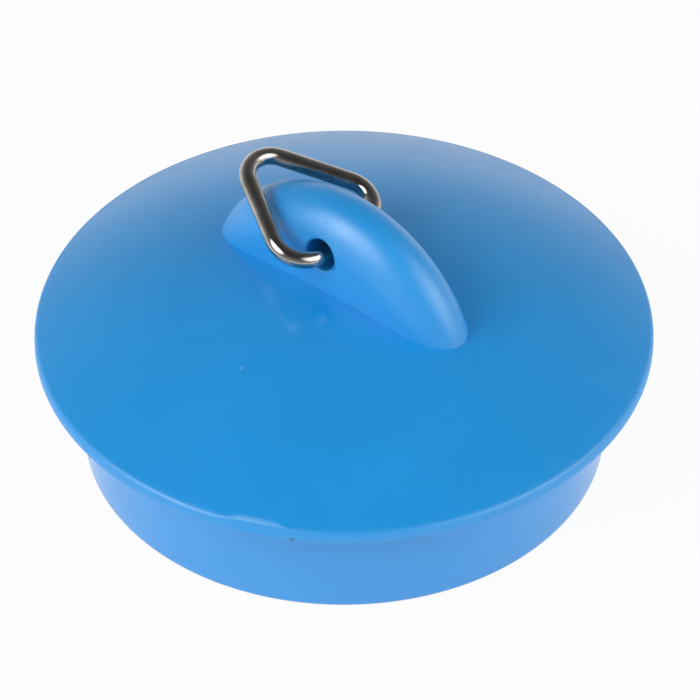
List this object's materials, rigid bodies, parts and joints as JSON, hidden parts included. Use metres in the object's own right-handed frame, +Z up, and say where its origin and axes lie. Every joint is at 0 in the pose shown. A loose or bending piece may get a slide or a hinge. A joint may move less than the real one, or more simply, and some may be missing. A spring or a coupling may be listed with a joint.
{
  "type": "drain stopper",
  "caption": "Domed sink and bath plug with a hollow tapered skirt, an overhanging rim and a lifting lug whose cross hole carries a swinging wire triangle ring for a chain.",
  "frame": {"origin": "centre of the skirt's bottom edge, on the plug axis", "axes": "+Z up along the plug axis; the lifting lug runs along X and the ring turns about a line along Y, lying back towards -X"},
  "size_m": [0.052, 0.052, 0.0254],
  "materials": {
    "blue_pvc": "glossy soft PVC moulding",
    "plated_wire": "bright nickel-plated steel wire"
  },
  "bodies": {
    "plug": {"plug_body": "blue_pvc"},
    "ring": {"triangle_ring": "plated_wire"}
  },
  "joints": [
    {"name": "ring_swing", "type": "hinge", "parent": "plug", "child": "ring", "pos_m": [0, 0, 0.02128], "axis": [0, 1, 0], "range_deg": [0, 142.6]}
  ]
}
